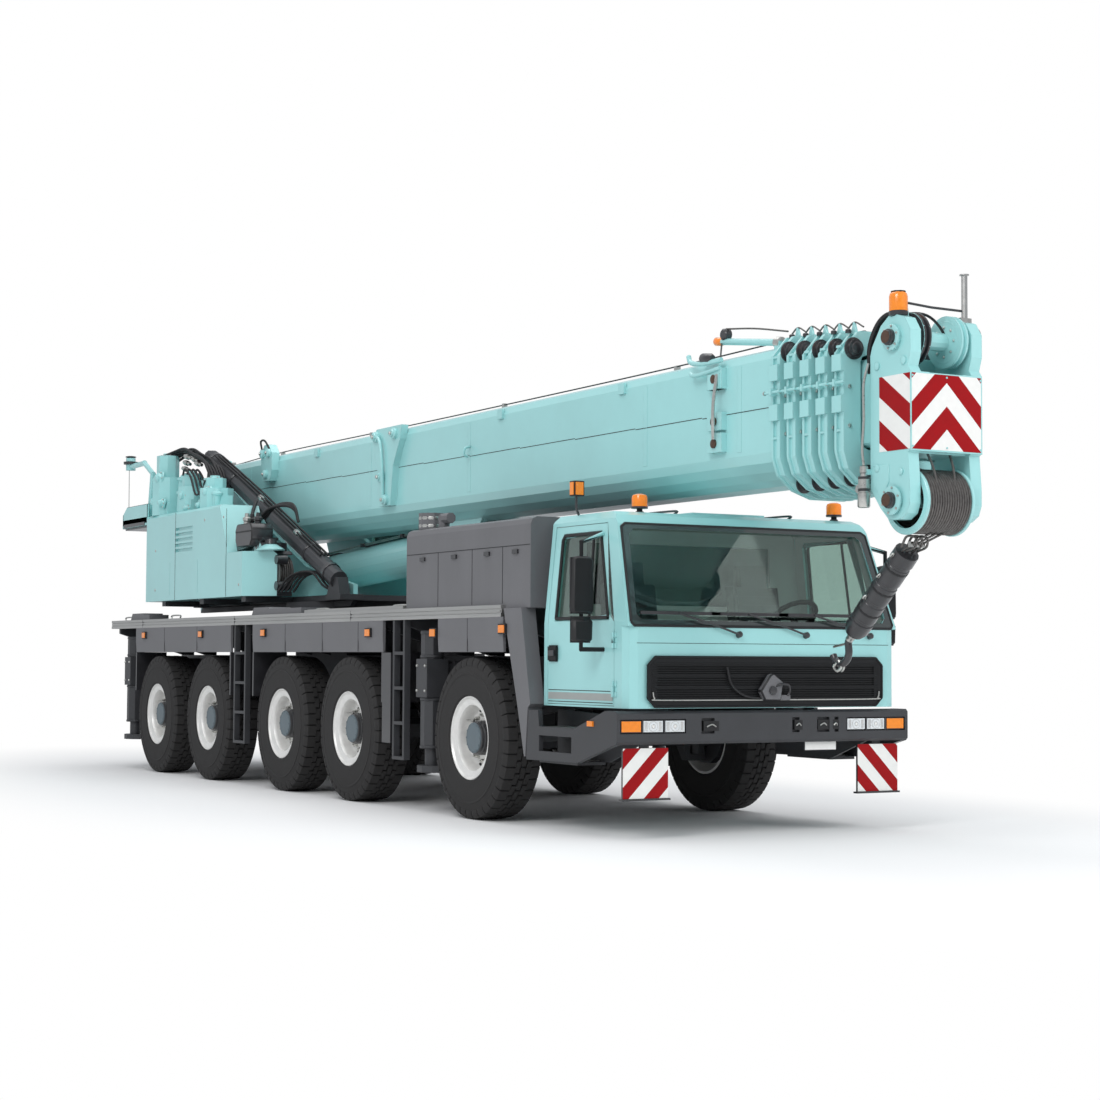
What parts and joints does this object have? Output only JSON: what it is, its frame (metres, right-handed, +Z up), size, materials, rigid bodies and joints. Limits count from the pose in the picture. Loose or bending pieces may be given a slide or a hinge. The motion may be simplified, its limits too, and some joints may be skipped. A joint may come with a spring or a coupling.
{
  "type": "mobile crane",
  "caption": "All-terrain mobile crane with a slewing upper works, a telescoping boom, outriggers and a hook, parked in road trim.",
  "frame": {"origin": "on the floor under the middle of the whole machine", "axes": "+X forward, +Y to the vehicle's left, +Z up"},
  "size_m": [14.415, 3.11, 4.09],
  "materials": {
    "green_paint": "gloss",
    "grey_paint": "satin",
    "panel_grey": "satin",
    "deck_aluminium": "brushed",
    "tyre": "matt",
    "rim_silver": "satin",
    "rope_steel": "greased",
    "hook_black": "satin",
    "chrome_rod": "polished",
    "glass": "clear",
    "cab_trim": "matt"
  },
  "bodies": {
    "carrier": {"chassis_frame": "grey_paint", "driveline": "grey_paint", "deck": "deck_aluminium", "body_panels": "panel_grey", "bumper": "grey_paint", "cab_shell": "green_paint", "cab_glass": "glass", "cab_interior": "cab_trim"},
    "wheel_1_right": {"tyre_1_right": "tyre", "rim_1_right": "rim_silver"},
    "steering_knuckle_1_right": {"knuckle_1_right": "grey_paint"},
    "wheel_1_left": {"tyre_1_left": "tyre", "rim_1_left": "rim_silver"},
    "steering_knuckle_1_left": {"knuckle_1_left": "grey_paint"},
    "wheel_2_right": {"tyre_2_right": "tyre", "rim_2_right": "rim_silver"},
    "steering_knuckle_2_right": {"knuckle_2_right": "grey_paint"},
    "wheel_2_left": {"tyre_2_left": "tyre", "rim_2_left": "rim_silver"},
    "steering_knuckle_2_left": {"knuckle_2_left": "grey_paint"},
    "wheel_3_right": {"tyre_3_right": "tyre", "rim_3_right": "rim_silver"},
    "wheel_3_left": {"tyre_3_left": "tyre", "rim_3_left": "rim_silver"},
    "wheel_4_right": {"tyre_4_right": "tyre", "rim_4_right": "rim_silver"},
    "wheel_4_left": {"tyre_4_left": "tyre", "rim_4_left": "rim_silver"},
    "wheel_5_right": {"tyre_5_right": "tyre", "rim_5_right": "rim_silver"},
    "steering_knuckle_5_right": {"knuckle_5_right": "grey_paint"},
    "wheel_5_left": {"tyre_5_left": "tyre", "rim_5_left": "rim_silver"},
    "steering_knuckle_5_left": {"knuckle_5_left": "grey_paint"},
    "superstructure": {"turntable_frame": "green_paint", "upper_housing": "green_paint", "crane_cab": "green_paint"},
    "crane_cab_sliding_door": {"crane_cab_door": "green_paint"},
    "winch": {"winch_drum": "rope_steel"},
    "boom": {"boom_base": "green_paint"},
    "telescope_1": {"boom_section_1": "green_paint"},
    "telescope_2": {"boom_section_2": "green_paint"},
    "telescope_3": {"boom_section_3": "green_paint"},
    "telescope_4": {"boom_section_4": "green_paint"},
    "telescope_5": {"boom_section_5": "green_paint"},
    "lower_sheaves": {"head_sheaves": "rope_steel"},
    "upper_sheaves": {"top_sheaves": "green_paint"},
    "hook": {"hook_block": "hook_black"},
    "lift_cylinder_tube": {"lift_cylinder": "green_paint"},
    "lift_cylinder_rod": {"lift_rod": "chrome_rod"},
    "cab_door_right_leaf": {"cab_door_right": "green_paint"},
    "cab_door_left_leaf": {"cab_door_left": "green_paint"},
    "outrigger_front_right": {"outrigger_beam_front_right": "grey_paint"},
    "jack_front_right": {"outrigger_jack_front_right": "grey_paint"},
    "outrigger_front_left": {"outrigger_beam_front_left": "grey_paint"},
    "jack_front_left": {"outrigger_jack_front_left": "grey_paint"},
    "outrigger_rear_right": {"outrigger_beam_rear_right": "grey_paint"},
    "jack_rear_right": {"outrigger_jack_rear_right": "grey_paint"},
    "outrigger_rear_left": {"outrigger_beam_rear_left": "grey_paint"},
    "jack_rear_left": {"outrigger_jack_rear_left": "grey_paint"}
  },
  "joints": [
    {"name": "steer_1_right", "type": "hinge", "parent": "carrier", "child": "steering_knuckle_1_right", "pos_m": [2.57, -0.94, 0.685], "axis": [0, 0, 1], "range_deg": [-28, 28]},
    {"name": "wheel_1_right_spin", "type": "hinge", "parent": "steering_knuckle_1_right", "child": "wheel_1_right", "pos_m": [2.57, -1.1875, 0.685], "axis": [0, 1, 0], "continuous": true},
    {"name": "steer_1_left", "type": "hinge", "parent": "carrier", "child": "steering_knuckle_1_left", "pos_m": [2.57, 0.94, 0.685], "axis": [0, 0, 1], "range_deg": [-28, 28]},
    {"name": "wheel_1_left_spin", "type": "hinge", "parent": "steering_knuckle_1_left", "child": "wheel_1_left", "pos_m": [2.57, 1.1875, 0.685], "axis": [0, 1, 0], "continuous": true},
    {"name": "steer_2_right", "type": "hinge", "parent": "carrier", "child": "steering_knuckle_2_right", "pos_m": [0.05, -0.94, 0.685], "axis": [0, 0, 1], "range_deg": [-15, 15]},
    {"name": "wheel_2_right_spin", "type": "hinge", "parent": "steering_knuckle_2_right", "child": "wheel_2_right", "pos_m": [0.05, -1.1875, 0.685], "axis": [0, 1, 0], "continuous": true},
    {"name": "steer_2_left", "type": "hinge", "parent": "carrier", "child": "steering_knuckle_2_left", "pos_m": [0.05, 0.94, 0.685], "axis": [0, 0, 1], "range_deg": [-15, 15]},
    {"name": "wheel_2_left_spin", "type": "hinge", "parent": "steering_knuckle_2_left", "child": "wheel_2_left", "pos_m": [0.05, 1.1875, 0.685], "axis": [0, 1, 0], "continuous": true},
    {"name": "wheel_3_right_spin", "type": "hinge", "parent": "carrier", "child": "wheel_3_right", "pos_m": [-1.62, -1.1875, 0.685], "axis": [0, 1, 0], "continuous": true},
    {"name": "wheel_3_left_spin", "type": "hinge", "parent": "carrier", "child": "wheel_3_left", "pos_m": [-1.62, 1.1875, 0.685], "axis": [0, 1, 0], "continuous": true},
    {"name": "wheel_4_right_spin", "type": "hinge", "parent": "carrier", "child": "wheel_4_right", "pos_m": [-3.77, -1.1875, 0.685], "axis": [0, 1, 0], "continuous": true},
    {"name": "wheel_4_left_spin", "type": "hinge", "parent": "carrier", "child": "wheel_4_left", "pos_m": [-3.77, 1.1875, 0.685], "axis": [0, 1, 0], "continuous": true},
    {"name": "steer_5_right", "type": "hinge", "parent": "carrier", "child": "steering_knuckle_5_right", "pos_m": [-5.47, -0.94, 0.685], "axis": [0, 0, 1], "range_deg": [-20, 20]},
    {"name": "wheel_5_right_spin", "type": "hinge", "parent": "steering_knuckle_5_right", "child": "wheel_5_right", "pos_m": [-5.47, -1.1875, 0.685], "axis": [0, 1, 0], "continuous": true},
    {"name": "steer_5_left", "type": "hinge", "parent": "carrier", "child": "steering_knuckle_5_left", "pos_m": [-5.47, 0.94, 0.685], "axis": [0, 0, 1], "range_deg": [-20, 20]},
    {"name": "wheel_5_left_spin", "type": "hinge", "parent": "steering_knuckle_5_left", "child": "wheel_5_left", "pos_m": [-5.47, 1.1875, 0.685], "axis": [0, 1, 0], "continuous": true},
    {"name": "slew", "type": "hinge", "parent": "carrier", "child": "superstructure", "pos_m": [-2.7, 0, 1.86], "axis": [0, 0, 1], "continuous": true},
    {"name": "crane_cab_door_slide", "type": "slide", "parent": "superstructure", "child": "crane_cab_sliding_door", "axis": [-1, 0, 0], "range_m": [0, 0.85]},
    {"name": "winch_spin", "type": "hinge", "parent": "superstructure", "child": "winch", "pos_m": [-2.76, 0, 2.26], "axis": [0, 1, 0], "continuous": true},
    {"name": "boom_lift", "type": "hinge", "parent": "superstructure", "child": "boom", "pos_m": [-5.9, 0, 3.25], "axis": [0, -1, 0], "range_deg": [0, 82]},
    {"name": "telescope_1_slide", "type": "slide", "parent": "boom", "child": "telescope_1", "axis": [1, 0, 0], "range_m": [0, 8.1]},
    {"name": "telescope_2_slide", "type": "slide", "parent": "telescope_1", "child": "telescope_2", "axis": [1, 0, 0], "range_m": [0, 8.1]},
    {"name": "telescope_3_slide", "type": "slide", "parent": "telescope_2", "child": "telescope_3", "axis": [1, 0, 0], "range_m": [0, 8.1]},
    {"name": "telescope_4_slide", "type": "slide", "parent": "telescope_3", "child": "telescope_4", "axis": [1, 0, 0], "range_m": [0, 8.1]},
    {"name": "telescope_5_slide", "type": "slide", "parent": "telescope_4", "child": "telescope_5", "axis": [1, 0, 0], "range_m": [0, 8.1]},
    {"name": "lower_sheaves_spin", "type": "hinge", "parent": "telescope_5", "child": "lower_sheaves", "pos_m": [6.95, 0, 2.465], "axis": [0, 1, 0], "continuous": true},
    {"name": "upper_sheaves_spin", "type": "hinge", "parent": "telescope_5", "child": "upper_sheaves", "pos_m": [6.95, 0, 3.6], "axis": [0, 1, 0], "continuous": true},
    {"name": "hook_swing", "type": "hinge", "parent": "telescope_5", "child": "hook", "pos_m": [6.95, 0, 2.465], "axis": [0, -1, 0], "range_deg": [-35, 0]},
    {"name": "lift_cylinder_swing", "type": "hinge", "parent": "superstructure", "child": "lift_cylinder_tube", "pos_m": [-4.6, 0, 2.235], "axis": [0, -1, 0], "range_deg": [0, 84.6]},
    {"name": "lift_rod_slide", "type": "slide", "parent": "lift_cylinder_tube", "child": "lift_cylinder_rod", "axis": [0.9984, 0, 0.0563], "range_m": [0, 2.16]},
    {"name": "cab_door_right_swing", "type": "hinge", "parent": "carrier", "child": "cab_door_right_leaf", "pos_m": [4.785, -1.284, 1.3], "axis": [0, 0, 1], "range_deg": [0, 70]},
    {"name": "cab_door_left_swing", "type": "hinge", "parent": "carrier", "child": "cab_door_left_leaf", "pos_m": [4.785, 1.284, 1.3], "axis": [0, 0, -1], "range_deg": [0, 70]},
    {"name": "outrigger_front_right_slide", "type": "slide", "parent": "carrier", "child": "outrigger_front_right", "axis": [0, -1, 0], "range_m": [0, 1.75]},
    {"name": "jack_front_right_slide", "type": "slide", "parent": "outrigger_front_right", "child": "jack_front_right", "axis": [0, 0, -1], "range_m": [0, 0.6]},
    {"name": "outrigger_front_left_slide", "type": "slide", "parent": "carrier", "child": "outrigger_front_left", "axis": [0, 1, 0], "range_m": [0, 1.75]},
    {"name": "jack_front_left_slide", "type": "slide", "parent": "outrigger_front_left", "child": "jack_front_left", "axis": [0, 0, -1], "range_m": [0, 0.6]},
    {"name": "outrigger_rear_right_slide", "type": "slide", "parent": "carrier", "child": "outrigger_rear_right", "axis": [0, -1, 0], "range_m": [0, 1.75]},
    {"name": "jack_rear_right_slide", "type": "slide", "parent": "outrigger_rear_right", "child": "jack_rear_right", "axis": [0, 0, -1], "range_m": [0, 0.6]},
    {"name": "outrigger_rear_left_slide", "type": "slide", "parent": "carrier", "child": "outrigger_rear_left", "axis": [0, 1, 0], "range_m": [0, 1.75]},
    {"name": "jack_rear_left_slide", "type": "slide", "parent": "outrigger_rear_left", "child": "jack_rear_left", "axis": [0, 0, -1], "range_m": [0, 0.6]}
  ],
  "couplings": [
    {"joint": "steer_1_left", "follows": "steer_1_right", "ratio": 1},
    {"joint": "steer_2_right", "follows": "steer_1_right", "ratio": 0.52},
    {"joint": "steer_2_left", "follows": "steer_1_right", "ratio": 0.52},
    {"joint": "steer_5_left", "follows": "steer_5_right", "ratio": 1},
    {"joint": "telescope_2_slide", "follows": "telescope_1_slide", "ratio": 1},
    {"joint": "telescope_3_slide", "follows": "telescope_1_slide", "ratio": 1},
    {"joint": "telescope_4_slide", "follows": "telescope_1_slide", "ratio": 1},
    {"joint": "telescope_5_slide", "follows": "telescope_1_slide", "ratio": 1},
    {"joint": "hook_swing", "follows": "boom_lift", "ratio": -0.422},
    {"joint": "lift_cylinder_swing", "follows": "boom_lift", "ratio": 1.0299},
    {"joint": "lift_rod_slide", "follows": "boom_lift", "m_per_rad": 1.5025}
  ]
}
